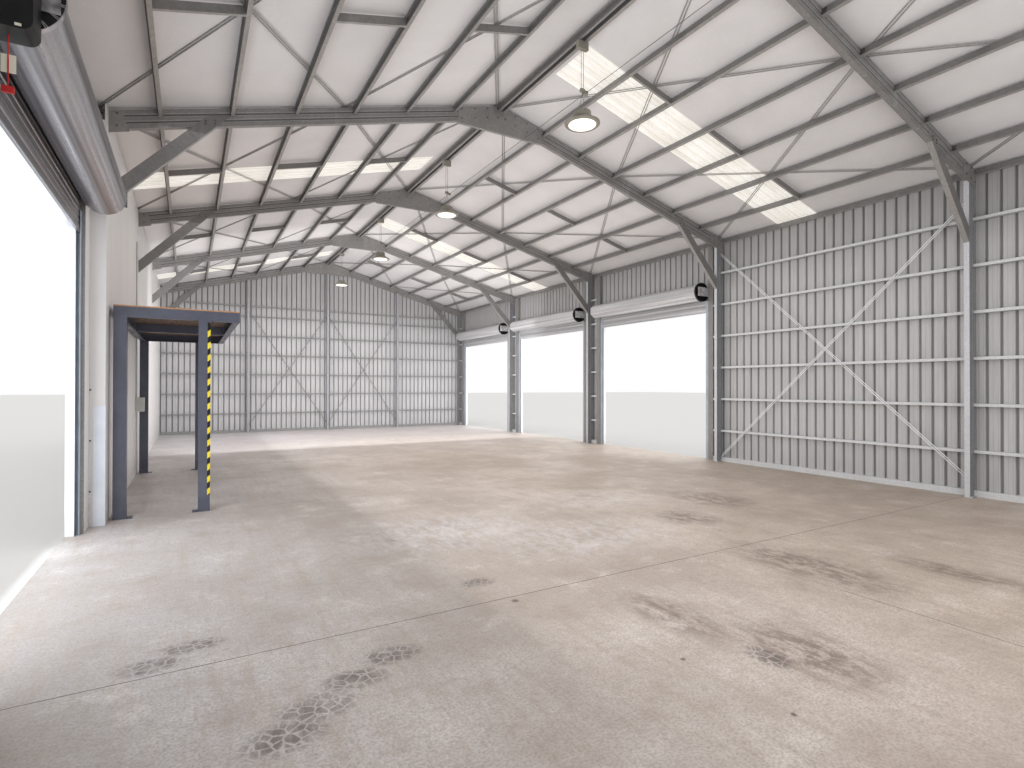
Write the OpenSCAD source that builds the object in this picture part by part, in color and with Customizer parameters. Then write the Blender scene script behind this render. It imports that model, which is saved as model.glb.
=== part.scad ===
// Steel portal-frame factory building: a row of frames under a gable roof with skylight
// strips, three roller doors in one long wall, one in the other, which is lined inside,
// and a raised steel platform against the lined wall.
// x runs across the building, y along it, and z = 0 is the underside of the floor slab.
// The origin is the centre of the footprint.

/* [Building] */
// Distance between two frames
bay = 5000; // [4500:100:6000]
// Clear width between the columns of a frame
clear_w = 11960; // [10000:10:14000]
// Height of the roof steel over the slab at the outer line of the columns
eave_h = 5390; // [5100:50:6500]
// Slope of the roof in degrees
roof_pitch = 15; // [10:1:20]
// Thickness of the floor slab
slab_t = 100; // [80:10:250]

/* [Frames] */
// Depth of the columns and rafters
frame_d = 250; // [200:10:300]
// Width of their flanges
frame_b = 76; // [60:2:100]
// Lip at the edge of each flange
frame_lip = 20; // [12:1:26]
// Plate thickness of the columns and rafters
frame_t = 3; // [2:0.5:4]
// Half length of the plate that joins two rafters
apex_plate_half = 890; // [600:10:1000]
// Thickness of the joint plates
plate_t = 6; // [4:1:12]
// Length of a knee plate, in from the outer line of the columns
knee_plate_w = 420; // [350:10:600]
// Depth of a knee plate under its rafter
knee_lap = 40; // [20:5:120]
// Depth of a knee brace
brace_d = 170; // [120:5:220]
// Height over the slab at which a knee brace meets its column
brace_low = 4180; // [3600:10:4300]
// Reach of a knee brace, in from its column
brace_reach = 1280; // [900:10:1500]
// Length of a column's base plate along the wall
base_plate = 150; // [100:10:250]

/* [Purlins and girts] */
// Depth of the purlins and girts
purlin_d = 100; // [75:5:150]
// Width of their flanges
purlin_b = 50; // [40:1:65]
// Lip of the purlins and girts
purlin_lip = 14; // [10:1:18]
// Plate thickness of the purlins and girts
purlin_t = 2; // [1.5:0.5:3]
// Level distance of the first purlin from the ridge
purlin_first = 950; // [940:10:1100]
// Level distance between two purlins
purlin_pitch = 886; // [700:2:940]
// Gap between the two ridge purlins
ridge_gap = 70; // [40:5:150]
// Height of the lowest girt's top over the slab
girt_first = 765; // [500:5:900]
// Distance between two girts
girt_pitch = 767; // [600:1:800]
// Height of the rail along the foot of a wall
base_rail_h = 105; // [80:5:160]
// Depth of the posts that carry the end walls
mullion_d = 200; // [150:10:250]
// Distance from the middle of an end wall to its next posts
mullion_pitch = 3030; // [2400:10:3400]
// Diameter of a brace rod
rod_d = 16; // [10:1:20]
// Distance between the two rods of a brace
rod_gap = 46; // [30:1:80]

/* [Cladding] */
// Distance between two ribs of the sheets, about
rib_pitch = 190; // [150:5:250]
// Height of a rib
rib_h = 29; // [15:1:40]
// Thickness of the sheets
sheet_t = 2; // [1:0.5:3]
// Thickness of the roof lining
lining_t = 12; // [6:1:30]
// Thickness of the panels inside the lined wall
panel_t = 20; // [10:1:40]
// Width of a skylight strip
skylight_w = 910; // [600:10:1200]
// Distance from the middle of a bay to the near edge of its skylight
skylight_shift = 140; // [0:10:400]
// Level distance of a skylight from the ridge
skylight_top = 240; // [150:10:500]
// Width of the gutters
gutter_w = 130; // [100:5:200]

/* [Doors] */
// Width of a roller door opening
door_w = 4010; // [3000:10:4060]
// Height of a door opening over the slab
door_h = 3800; // [3000:10:3900]
// Height of the curtain's lower edge over the slab, rolled up
curtain_low = 3690; // [2800:10:3700]
// Diameter of a right-hand door's rolled-up curtain
drum_d = 410; // [300:10:440]
// Diameter of the left-hand door's rolled-up curtain
side_drum_d = 470; // [300:10:480]
// Shift of a right-hand door from the middle of its bay
door_shift = -50; // [-150:5:150]
// Shift of the left-hand door from the middle of its bay
side_door_shift = -185; // [-240:5:200]
// Diameter of a hand-chain wheel
hoist_d = 470; // [300:10:480]
// Reach of a door's sill past the columns' outer line
sill_out = 70; // [40:5:120]

/* [Platform] */
// Height of the deck's top over the slab
deck_h = 2900; // [2400:10:3200]
// Length of the platform along the wall
platform_l = 4740; // [3500:10:4900]
// Width of the platform
platform_w = 1525; // [1200:5:2000]
// Side of a platform post
post_w = 150; // [75:5:150]
// Depth of the platform's beams
platform_beam_d = 140; // [100:10:200]

/* [Hidden] */

bays = 5;
door_bays = [2, 3, 4];       // bays of the right wall that have a door
side_door_bay = 1;           // bay of the left wall that has a door
platform_bay = 2;
purlin_n = 6;                // purlins on each slope
girt_n = 6;                  // girts on each long wall
clear = 0.3;                 // gap where two pieces of one node meet
length = bay*bays;
steel_x = clear_w/2 + frame_d;                  // outer line of the columns
end_y = length/2 + frame_b/2;                   // outer line of the end frames
steel_z = slab_t + eave_h;                      // roof steel at the outer line
ridge_z = steel_z + steel_x*tan(roof_pitch);
slope_len = steel_x/cos(roof_pitch);
frame_drop = frame_d/cos(roof_pitch);           // upright depth of a rafter
sheet_out = rib_h + sheet_t;                    // a sheet's whole thickness
roof_gap = 2*rod_d + 3*clear;                   // room for crossed rods over the purlins
sheet_z = roof_gap + lining_t;                  // underside of the roof sheets
roof_top = sheet_z + sheet_out;
door_head = slab_t + door_h;
apex_low = roof_z(apex_plate_half) - frame_drop - 20;
apex_fold = 60;                                 // fold under an apex plate
groove_t = 7;                                   // depth of the grooves in a frame's web
brace_lap = 0.4;                                // part of a rafter above a brace's tongue
brace_high = roof_z(clear_w/2 - brace_reach) - frame_drop;
brace_rise = atan2(brace_high - slab_t - brace_low, brace_reach);
brace_run = norm([brace_reach, brace_high - slab_t - brace_low]);
jamb_w = 150;                                   // width of a door jamb
side_jamb_w = 96;                               // the same beside the left-hand door
guide_w = 100;                                  // width of a door's guide
guide_d = 45;                                   // depth of a guide
head_d = 20;                                    // depth of the angle over a door
trim_t = 2;                                     // thickness of the trims
trim_out = 35;                                  // reach of a door's trim past the sheets
guide_x = steel_x - head_d - clear;             // outer face of a guide
curtain_x = guide_x - guide_d/2;                // plane of a door's curtain
drum_z = slab_t + 4160;
wheel_t = 44;                                   // thickness of the wheel at a drum's near end
jamb_top = ridge_z - (slope_len - 2)*sin(roof_pitch) - purlin_d*cos(roof_pitch) - clear;
bracket_t = 6;                                  // plate at each end of a drum
bracket_h = 220;                                // its height
lining_x = clear_w/2 - panel_t;                 // inner face of the lined wall
lining_start = bay_y(side_door_bay) + bay/2 - 230;

function roof_z(x) = ridge_z - abs(x)*tan(roof_pitch);
function frame_y(i) = -length/2 + bay*i;
function bay_y(i) = frame_y(i) + bay/2;
function girt_z(k) = slab_t + girt_first + girt_pitch*k;
function purlin_x(k) = purlin_first + purlin_pitch*k;
function joint_plate(x) = x < apex_plate_half || x > steel_x - knee_plate_w ? plate_t : 0;
function bay_start(i, x) = frame_y(i) + frame_b/2 + (i == 0 ? joint_plate(x) : 0);
function bay_end(i, x) = frame_y(i + 1) - frame_b/2 - joint_plate(x);
function has(list, v) = len([for (e = list) if (e == v) e]) > 0;
function drum_x(d) = curtain_x - 8 - d/2;

// Shared shapes

// Outline of a lipped channel: web along y at x = 0, flanges towards +x
module channel_outline(d, b, lip, t) {
    polygon([[b, 0], [0, 0], [0, d], [b, d], [b, d - lip], [b - t, d - lip], [b - t, d - t],
        [t, d - t], [t, t], [b - t, t], [b - t, lip], [b, lip]]);
}

// The same with two grooves rolled into the web
module frame_outline(d) {
    b = frame_b;
    t = frame_t;
    lip = frame_lip;
    polygon(concat([[b, 0], [0, 0]], groove_line(0, d), [[0, d], [b, d], [b, d - lip],
        [b - t, d - lip], [b - t, d - t], [t, d - t]], reversed(groove_line(t, d)),
        [[t, t], [b - t, t], [b - t, lip], [b, lip]]));
}

function groove_line(x, d) = [for (y = [0.32*d, 0.68*d])
    each [[x, y - 16], [x + groove_t, y - 7], [x + groove_t, y + 7], [x, y + 16]]];
function reversed(list) = [for (k = [len(list) - 1:-1:0]) list[k]];

// Upright slice of the building between two outlines' sides: an outline in x and z,
// extruded along y from y0 to y1
module slice(y0, y1) {
    translate([0, y1, 0]) rotate([90, 0, 0]) linear_extrude(y1 - y0) children();
}

// Frame of the right-hand roof slope: x runs down the slope, z stands square to it,
// and z = 0 is the top of the roof steel
module on_slope() {
    translate([0, 0, ridge_z]) rotate([0, roof_pitch, 0]) children();
}

module both_sides() {
    children();
    mirror([1, 0, 0]) children();
}

module both_ends() {
    children();
    mirror([0, 1, 0]) children();
}

// Puts a piece drawn about y = 0 at frame i. The webs face the near end, but the near
// end's own frame is turned round, so that both end frames turn their backs outwards.
module at_frame(i) {
    translate([0, frame_y(i), 0]) mirror([0, i == 0 ? 1 : 0, 0]) children();
}

module each_frame() {
    for (i = [0:bays]) at_frame(i) children();
}

// Part of a trapezoidal sheet in x and y, with its pans on y = 0 and its ribs towards +y
module rib_outline(w) {
    n = max(1, round(w/rib_pitch));
    p = w/n;
    crest = p*0.13;
    foot = p*0.26;
    under = concat([[0, 0]], [for (k = [0:n - 1]) let (c = (k + 0.5)*p)
        each [[c - foot/2, 0], [c - crest/2, rib_h], [c + crest/2, rib_h], [c + foot/2, 0]]],
        [[w, 0]]);
    over = [for (k = [len(under) - 1:-1:0]) under[k] + [0, sheet_t]];
    polygon(concat(under, over));
}

// Wall sheet from y0 to y1 and z0 to z1 with its pans on x = 0 and its ribs towards +x
module wall_sheet(y0, y1, z0, z1) {
    translate([0, y0, z0]) linear_extrude(z1 - z0) mirror([1, -1]) rib_outline(y1 - y0);
}

// Purlin or girt section between two frames, its web at x = 0 and its top at z = 0
module purlin(y0, y1) {
    translate([0, 0, -purlin_d]) slice(y0, y1)
        channel_outline(purlin_d, purlin_b, purlin_lip, purlin_t);
}

// Girt from y0 to y1 on the right wall, lying flat with its top at height z
module girt(y0, y1, z) {
    translate([steel_x - purlin_d, 0, z]) slice(y0, y1) rotate(-90)
        channel_outline(purlin_d, purlin_b, purlin_lip, purlin_t);
}

// Two rods side by side from a to b, spread along the direction across. Both points lie
// past the planes y0 and y1, or x0 and x1, that the rods are cut to.
module twin_rods(a, b, across) {
    d = b - a;
    l = norm(d);
    for (s = [-1, 1])
        translate(a + s*rod_gap/2*across)
            rotate([0, acos(d[2]/l), atan2(d[1], d[0])]) translate([0, 0, -rod_d])
                cylinder(d = rod_d, h = l + 2*rod_d, $fn = 24);
}

// Keeps what lies between two planes across y
module between_y(y0, y1) {
    intersection() {
        children();
        translate([-2*steel_x, y0, -ridge_z]) cube([4*steel_x, y1 - y0, 3*ridge_z]);
    }
}

// Keeps what lies between two planes across x
module between_x(x0, x1) {
    intersection() {
        children();
        translate([x0, -length, -ridge_z]) cube([x1 - x0, 2*length, 3*ridge_z]);
    }
}

// Floor

module floor_slab() {
    color("#b5aea5") {
        translate([-steel_x, -end_y, 0]) cube([2*steel_x, 2*end_y, slab_t]);
        each_right_door() door_sill();
        side_door() door_sill();
    }
}

// Strip of the slab that runs out under a door
module door_sill() {
    translate([steel_x - 1, -door_w/2 + clear, 0])
        cube([sill_out + 1, door_w - 2*clear, slab_t]);
}

// Frames

// Column of the right wall, cut to the rafter's slope, on its base plate
module column() {
    x0 = clear_w/2;
    half = base_plate/2;
    intersection() {
        translate([x0, -frame_b/2, slab_t]) linear_extrude(ridge_z)
            mirror([1, -1]) frame_outline(frame_d);
        slice(-frame_b, frame_b)
            polygon([[x0 - 1, 0], [steel_x + 1, 0], [steel_x + 1, roof_z(steel_x + 1) - frame_drop],
                [x0 - 1, roof_z(x0 - 1) - frame_drop]]);
    }
    translate([x0 + 1, -half, slab_t])
        cube([frame_d - purlin_d - 3, half + frame_b/2, 10]);
}

module columns_right() {
    color("#8e9092") each_frame() column();
}

module columns_left() {
    color("#8e9092") mirror([1, 0, 0]) each_frame() column();
}

// Right half of a rafter pair, from the ridge to the outer line of the columns
module rafter() {
    intersection() {
        on_slope() translate([-frame_d, -frame_b/2, -frame_d]) rotate([90, 0, 90])
            linear_extrude(slope_len + 2*frame_d) frame_outline(frame_d);
        translate([0, -frame_b, 0]) cube([steel_x, 2*frame_b, 2*ridge_z]);
    }
}

module rafters_right() {
    color("#77797b") each_frame() rafter();
}

module rafters_left() {
    color("#77797b") mirror([1, 0, 0]) each_frame() rafter();
}

// Plate on the webs of two rafters, its lower edge straight and folded under them
module apex_plate() {
    slice(-frame_b/2 - plate_t, -frame_b/2)
        polygon([[-apex_plate_half, apex_low], [-apex_plate_half, roof_z(apex_plate_half)],
            [0, ridge_z], [apex_plate_half, roof_z(apex_plate_half)],
            [apex_plate_half, apex_low]]);
    translate([-apex_plate_half, -frame_b/2 - plate_t, apex_low - plate_t])
        cube([2*apex_plate_half, apex_fold, plate_t]);
}

module apex_plates() {
    color("#727476") each_frame() apex_plate();
}

// Plate on the web of a column and its rafter, square to the slope
module knee_plate() {
    inner = steel_x - knee_plate_w;
    h = frame_d + knee_lap;
    slice(-frame_b/2 - plate_t, -frame_b/2)
        polygon([[steel_x, steel_z - h/cos(roof_pitch)], [steel_x, steel_z],
            [inner, roof_z(inner)],
            [inner - h*sin(roof_pitch), roof_z(inner) - h*cos(roof_pitch)]]);
}

module knee_plates() {
    color("#727476") both_sides() each_frame() knee_plate();
}

// Channel from a column up to its rafter, with a tongue on the rafter's web
module knee_brace(foot_x) {
    low = slab_t + brace_low;
    intersection() {
        translate([clear_w/2, 0, low]) mirror([1, 0, 0]) rotate([0, -brace_rise, 0])
            translate([-brace_run, -frame_b/2, 0]) rotate([90, 0, 90])
                linear_extrude(3*brace_run)
                    channel_outline(brace_d, frame_b, frame_lip, frame_t);
        slice(-frame_b, frame_b)
            polygon([[foot_x, 0], [foot_x, roof_z(foot_x) - frame_drop],
                [0, roof_z(0) - frame_drop], [0, 0]]);
    }
    intersection() {
        translate([clear_w/2, -frame_b/2 - plate_t, low]) mirror([1, 0, 0])
            rotate([0, -brace_rise, 0]) translate([brace_run - 2*brace_d, 0, 0])
                cube([4*brace_d, plate_t, brace_d]);
        slice(-frame_b, frame_b)
            polygon([[foot_x, 0], [foot_x, roof_z(foot_x) - brace_lap*frame_drop],
                [0, roof_z(0) - brace_lap*frame_drop], [0, 0]]);
    }
}

module knee_braces() {
    color("#7b7d7f") {
        each_frame() knee_brace(clear_w/2);
        mirror([1, 0, 0]) each_frame() knee_brace(lining_x);
    }
}

// Purlins and girts

module slope_purlins() {
    for (i = [0:bays - 1], k = [0:purlin_n - 1])
        on_slope() translate([purlin_x(k)/cos(roof_pitch), 0, 0])
            purlin(bay_start(i, purlin_x(k)), bay_end(i, purlin_x(k)));
}

module purlins_right() {
    color("#86888a") slope_purlins();
}

module purlins_left() {
    color("#86888a") mirror([1, 0, 0]) slope_purlins();
}

module ridge_purlins() {
    color("#86888a") both_sides() for (i = [0:bays - 1])
        on_slope() translate([ridge_gap/2 + purlin_d*sin(roof_pitch), 0, 0])
            purlin(bay_start(i, 0), bay_end(i, 0));
}

module eave_purlins() {
    color("#86888a") both_sides() for (i = [0:bays - 1])
        on_slope() translate([slope_len - purlin_b - 2, 0, 0])
            purlin(bay_start(i, steel_x), bay_end(i, steel_x));
}

// Short channels near mid-bay between every other pair of purlins
module purlin_bridging() {
    h = purlin_d - 5;
    shift = [-25, -60];                         // from mid-bay, on the right slope and the left
    color("#6c6e70") for (side = [0, 1], i = [0:bays - 1], k = [0:2:purlin_n - 2])
        mirror([side, 0, 0]) on_slope()
            translate([purlin_x(k)/cos(roof_pitch) + purlin_b, bay_y(i) + shift[side], -purlin_d])
                rotate([90, 0, 90])
                    linear_extrude(purlin_pitch/cos(roof_pitch) - purlin_b)
                        channel_outline(h, 40, 10, 2);
}

// Crossed twin rods between the purlins and the lining, two crosses a bay on each slope.
// They end on the tops of the rafters.
module roof_bracing() {
    xs = [60, purlin_x(2) + 140, steel_x - 130];
    lower = clear + rod_d/2;
    upper = lower + rod_d + clear;
    color("#7d7f81") both_sides() for (i = [0:bays - 1], j = [0, 1], flip = [0, 1]) {
        a = xs[j + flip]/cos(roof_pitch);
        b = xs[j + 1 - flip]/cos(roof_pitch);
        h = flip == 0 ? upper : lower;
        y0 = frame_y(i) + clear;
        y1 = frame_y(i + 1) - clear;
        between_y(y0, y1) on_slope() twin_rods([a, y0, h], [b, y1, h], [1, 0, 0]);
    }
}

// Crossed twin rods in the closed bay of the right wall beside the doors, and in the
// two middle panels of each end wall
module wall_bracing() {
    low = [slab_t + 220, slab_t + 90];          // on the bay's near column and its far one
    high = [steel_z - 440, steel_z - 360];
    x = steel_x - purlin_d - rod_d/2 - clear;
    y0 = frame_y(1) - frame_b/2 + frame_t + clear;
    y1 = frame_y(2) - frame_b/2 - clear;
    z0 = slab_t + 300;
    z1 = steel_z - 640;
    g = end_y - purlin_d - rod_d/2 - clear;
    x0 = frame_b/2 + clear;
    x1 = mullion_pitch - frame_b/2 - clear;
    step = rod_d + clear;
    color("#c9cbcc") {
        between_y(y0, y1) {
            twin_rods([x, y0, low[0]], [x, y1, high[1]], [0, 0, 1]);
            twin_rods([x - step, y0, high[0]], [x - step, y1, low[1]], [0, 0, 1]);
        }
        both_ends() both_sides() between_x(x0, x1) {
            twin_rods([x0, g, z1], [x1, g, z0], [0, 0, 1]);
            twin_rods([x0, g - step, z0], [x1, g - step, z1], [0, 0, 1]);
        }
    }
}

function door_y(i, shift) = bay_y(i) + shift;

// Girts and foot rail of one bay, cut short at a door's jambs of width jamb
module bay_girts(i, door, shift, jamb) {
    y0 = frame_y(i) + frame_b/2;
    y1 = frame_y(i + 1) - frame_b/2;
    gap = door_w/2 + guide_w + jamb;
    ends = door ? [[y0, door_y(i, shift) - gap], [door_y(i, shift) + gap, y1]] : [[y0, y1]];
    for (e = ends) {
        for (k = [0:girt_n - 1]) girt(e[0], e[1], girt_z(k));
        translate([steel_x - purlin_d, 0, slab_t + base_rail_h]) slice(e[0], e[1])
            rotate(-90) channel_outline(purlin_d, base_rail_h, purlin_lip, purlin_t);
    }
}

module girts_right() {
    color("#c3c5c6") for (i = [0:bays - 1])
        bay_girts(i, has(door_bays, i), door_shift, jamb_w);
}

module girts_left() {
    color("#c3c5c6") mirror([1, 0, 0]) for (i = [0:bays - 1])
        bay_girts(i, i == side_door_bay, side_door_shift, side_jamb_w);
}

// Inner face of a knee brace at height z, or of its column below the brace
function brace_face(z) = clear_w/2 - max(0, z - slab_t - brace_low)/tan(brace_rise);

// Girts of both end walls between the posts, short of the knee braces
module gable_girts() {
    half = frame_b/2;
    high = slab_t + 5000;
    color("#c3c5c6") both_ends() both_sides() {
        for (z = concat([for (k = [0:girt_n - 1]) girt_z(k)], [high])) {
            gable_girt(half, mullion_pitch - half, z, purlin_b);
            gable_girt(mullion_pitch + half, brace_face(z) - (z > slab_t + brace_low ? 1 : 0), z,
                purlin_b);
        }
        gable_girt(half, mullion_pitch - half, slab_t + base_rail_h, base_rail_h);
        gable_girt(mullion_pitch + half, clear_w/2, slab_t + base_rail_h, base_rail_h);
    }
}

// Girt of the far end wall from x0 to x1 with its top at height z
module gable_girt(x0, x1, z, b) {
    translate([x0, end_y - purlin_d, z]) rotate([90, 90, 90])
        linear_extrude(x1 - x0) channel_outline(purlin_d, b, purlin_lip, purlin_t);
}

// Posts of both end walls, from the slab to the rafter or the apex plate
module gable_mullions() {
    shoulder = roof_z(steel_x) - frame_drop;
    low = apex_low - plate_t - clear;
    color("#8e9092") both_ends() for (m = [-1:1])
        intersection() {
            translate([m*mullion_pitch - frame_b/2, end_y - mullion_d, slab_t])
                linear_extrude(ridge_z) channel_outline(mullion_d, frame_b, frame_lip, frame_t);
            slice(end_y - mullion_d - 1, end_y + 1)
                polygon([[-steel_x, 0], [-steel_x, shoulder], [-apex_plate_half - 1, low + 20],
                    [-apex_plate_half, low], [apex_plate_half, low],
                    [apex_plate_half + 1, low + 20], [steel_x, shoulder], [steel_x, 0]]);
        }
}

// Cladding

// Sheets of one long wall around its doors, from below the slab's top to the eave
module long_wall_sheets(doors, shift) {
    low = slab_t - 50;
    high = roof_z(steel_x + sheet_out) + roof_gap;
    edges = [for (i = doors) each [door_y(i, shift) - door_w/2, door_y(i, shift) + door_w/2]];
    cuts = concat([-end_y], edges, [end_y]);
    translate([steel_x, 0, 0]) for (k = [0:len(cuts) - 2]) {
        over_door = k % 2 == 1;
        gap = over_door ? clear : 0;
        wall_sheet(cuts[k] + gap, cuts[k + 1] - gap, over_door ? door_head : low, high);
    }
}

module cladding_right() {
    color("#b9babb") long_wall_sheets(door_bays, door_shift);
}

module cladding_left() {
    color("#b9babb") mirror([1, 0, 0]) long_wall_sheets([side_door_bay], side_door_shift);
}

// Smooth panels inside the left wall from the side door's far jamb to the far end,
// notched at the rafters and knee plates, with a return beside the door
module wall_lining() {
    notch = frame_b + plate_t + 4;
    top = roof_z(clear_w/2) - 1;
    notch_low = roof_z(clear_w/2) - (frame_d + knee_lap)/cos(roof_pitch) - 2;
    far = end_y - purlin_d;
    color("#d8d5d0") {
        difference() {
            translate([-clear_w/2, lining_start, slab_t])
                cube([panel_t, far - lining_start, top - slab_t]);
            for (i = [side_door_bay + 1:bays])
                translate([-clear_w/2 - 1, frame_y(i) - frame_b/2 - plate_t - 2, notch_low])
                    cube([panel_t + 2, notch, top]);
        }
        translate([-steel_x + purlin_d, lining_start, slab_t])
            cube([frame_d - purlin_d - clear, panel_t, steel_z - purlin_d - 50 - slab_t]);
    }
}

// Sheet of the far end wall, up to the roof sheets
module gable_sheet() {
    low = slab_t - 50;
    w = 2*steel_x;
    rise = sheet_z/cos(roof_pitch) - clear;
    intersection() {
        translate([-w/2, end_y, low]) linear_extrude(2*ridge_z) rib_outline(w);
        slice(end_y - 1, end_y + sheet_out + 1) translate([0, rise])
            polygon([[-w, -rise], [-w, roof_z(w)], [0, ridge_z], [w, roof_z(w)], [w, -rise]]);
    }
}

module gable_cladding_far() {
    color("#bdbebf") gable_sheet();
}

module gable_cladding_near() {
    color("#bdbebf") mirror([0, 1, 0]) gable_sheet();
}

roof_end = end_y + sheet_out;
barge_y = roof_end - 70;                        // inner edge of the barge flashings
sheet_from = 60;                                // start of the sheets, from the ridge
sheet_to = slope_len + sheet_out + 60;          // their end, over the gutter
sky_bays = [[1, 3], [0, 2, 4]];                 // bays with a skylight, right slope and left

// Skylights along one slope, and the spans of sheet between them
function skylight_y(i) = bay_y(i) + skylight_shift;
function sky(side) = [for (i = sky_bays[side]) [skylight_y(i), skylight_y(i) + skylight_w]];
function roof_spans(side) = let (s = sky(side), n = len(s))
    [for (k = [0:n]) [k == 0 ? -roof_end : s[k - 1][1], k == n ? roof_end : s[k][0]]];

// Strip of roof sheet on the right slope, from y0 to y1 and s0 to s1 down the slope
module roof_strip(y0, y1, s0, s1) {
    on_slope() translate([s0, y0, sheet_z]) rotate([90, 0, 90])
        linear_extrude(s1 - s0) rib_outline(y1 - y0);
}

module slope_sheets(side) {
    for (p = roof_spans(side)) roof_strip(p[0], p[1], sheet_from, sheet_to);
    for (p = sky(side)) roof_strip(p[0], p[1], sheet_from, skylight_top - clear);
}

module roof_sheets_right() {
    color("#c4c8ca") slope_sheets(0);
}

module roof_sheets_left() {
    color("#c4c8ca") mirror([1, 0, 0]) slope_sheets(1);
}

module skylights() {
    color("#f4f6f2", 0.6) for (side = [0, 1], p = sky(side))
        mirror([side, 0, 0]) roof_strip(p[0], p[1], skylight_top, sheet_to);
}

// White lining over the purlins and the bracing, open under the skylights
module roof_lining() {
    s0 = ridge_gap/2 + purlin_d*sin(roof_pitch);
    color("#efedea") for (side = [0, 1]) mirror([side, 0, 0]) on_slope() {
        for (p = roof_spans(side))
            translate([s0, max(p[0], -end_y), roof_gap])
                cube([slope_len - s0, min(p[1], end_y) - max(p[0], -end_y), lining_t]);
        for (p = sky(side)) translate([s0, p[0] + clear, roof_gap])
            cube([skylight_top - s0, p[1] - p[0] - 2*clear, lining_t]);
    }
}

// Folded cap over the ridge
module ridge_capping() {
    w = 260;
    z = roof_top/cos(roof_pitch);
    drop = w*tan(roof_pitch);
    color("#c4c8ca") translate([0, 0, ridge_z + z]) slice(-barge_y, barge_y)
        polygon([[-w, -drop], [0, 0], [w, -drop], [w, sheet_t - drop], [0, sheet_t],
            [-w, sheet_t - drop]]);
}

// Open gutter under the ends of the roof sheets
module gutters() {
    t = 2;
    x0 = steel_x + sheet_out;
    top = roof_z(x0) - 5;
    h = 110;
    color("#e4e5e4") both_sides() translate([x0, 0, top]) slice(-roof_end, roof_end)
        polygon([[0, -h], [0, 0], [t, 0], [t, t - h], [gutter_w - t, t - h], [gutter_w - t, 0],
            [gutter_w + 8, 0], [gutter_w + 8, -12], [gutter_w, -12], [gutter_w, -h]]);
}

// Pipes from the gutters down the wall, clear of the doors
module downpipes() {
    x0 = steel_x + sheet_out + clear;
    top = roof_z(steel_x + sheet_out) - 115;
    color("#e4e5e4") both_sides() for (i = [0, 2, bays]) {
        y = i == 0 ? -end_y + 200 : i == bays ? end_y - 200 : frame_y(i) - 40;
        translate([x0, y - 50, 60]) difference() {
            cube([75, 100, top - 60]);
            translate([2, 2, -1]) cube([71, 96, top]);
        }
    }
}

// Edge trims along the roof's ends
module barge_flashings() {
    w = 150;
    t = 2;
    color("#e4e5e4") for (s = [0, 1]) mirror([0, s, 0]) both_sides() intersection() {
        on_slope() translate([-200, barge_y + clear, 0]) rotate([90, 0, 90])
            linear_extrude(sheet_to + 200) polygon([[0, roof_top], [0, roof_top + t],
                [70 + t, roof_top + t], [70 + t, -w], [70, -w], [70, roof_top]]);
        cube([2*steel_x, 2*length, 2*ridge_z]);
    }
}

// Angles that cover the four upright corners of the cladding
module corner_flashings() {
    w = 120;
    t = 2;
    o = sheet_out;
    color("#e4e5e4") for (s = [0, 1]) mirror([0, s, 0]) both_sides()
        translate([steel_x + o, end_y + o, slab_t - 50])
            linear_extrude(roof_z(steel_x + o) - 160 - slab_t + 50)
                polygon([[-w, 0], [0, 0], [0, -w], [t, -w], [t, t], [-w, t]]);
}

// Doors

// The pieces of one door are drawn on the right wall, y from the door's middle. The
// jambs, of width w, are channels up to the eave purlin. The head is an angle behind
// the guides.
module door_jamb_set(w) {
    y0 = door_w/2 + guide_w;
    for (m = [0, 1]) mirror([0, m, 0])
        translate([steel_x - purlin_d, y0, slab_t]) linear_extrude(jamb_top - slab_t)
            mirror([1, -1]) channel_outline(purlin_d, w, purlin_lip, purlin_t);
    slice(-y0 + clear, y0 - clear) translate([steel_x, door_head])
        polygon([[-head_d, 0], [0, 0], [0, jamb_w], [-purlin_t, jamb_w],
            [-purlin_t, purlin_t], [-head_d, purlin_t]]);
}

module each_right_door() {
    for (i = door_bays) translate([0, door_y(i, door_shift), 0]) children();
}

module side_door() {
    mirror([1, 0, 0]) translate([0, door_y(side_door_bay, side_door_shift), 0]) children();
}

module door_jambs() {
    color("#8e9092") {
        each_right_door() door_jamb_set(jamb_w);
        side_door() door_jamb_set(side_jamb_w);
    }
}

// Outline of a trim round the edge of a sheet: a web on y = 0, a leg of length outer over
// the ribs, and one of length inner behind the guide
module flashing_outline(outer, inner) {
    t = trim_t;
    x0 = steel_x - head_d;
    x1 = steel_x + sheet_out + trim_out;
    polygon([[x0, -t], [x1 + t, -t], [x1 + t, outer], [x1, outer], [x1, 0], [x0 + t, 0],
        [x0 + t, inner], [x0, inner]]);
}

// White trim on the edges of an opening: two sides and a head
module door_flashing_set() {
    w = 60;
    for (m = [0, 1]) mirror([0, m, 0])
        translate([0, door_w/2, slab_t]) linear_extrude(door_h - trim_t - clear)
            flashing_outline(w, w);
    translate([0, 0, door_head]) slice(-door_w/2, door_w/2) flashing_outline(w, 0);
}

module door_flashings() {
    color("#f2f3f2") {
        each_right_door() door_flashing_set();
        side_door() door_flashing_set();
    }
}

// Channel guides, open towards the curtain's edges, up to a drum of diameter d
module door_guide_set(d) {
    t = 3;
    g = guide_d;
    for (m = [0, 1]) mirror([0, m, 0]) translate([guide_x, door_w/2, slab_t])
        linear_extrude(drum_z - d/2 - slab_t)
            polygon([[0, 0], [0, guide_w], [-g, guide_w], [-g, 0], [t - g, 0],
                [t - g, guide_w - t], [-t, guide_w - t], [-t, 0]]);
}

module door_guides() {
    color("#6f7480") {
        each_right_door() door_guide_set(drum_d);
        side_door() door_guide_set(side_drum_d);
    }
}

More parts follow.
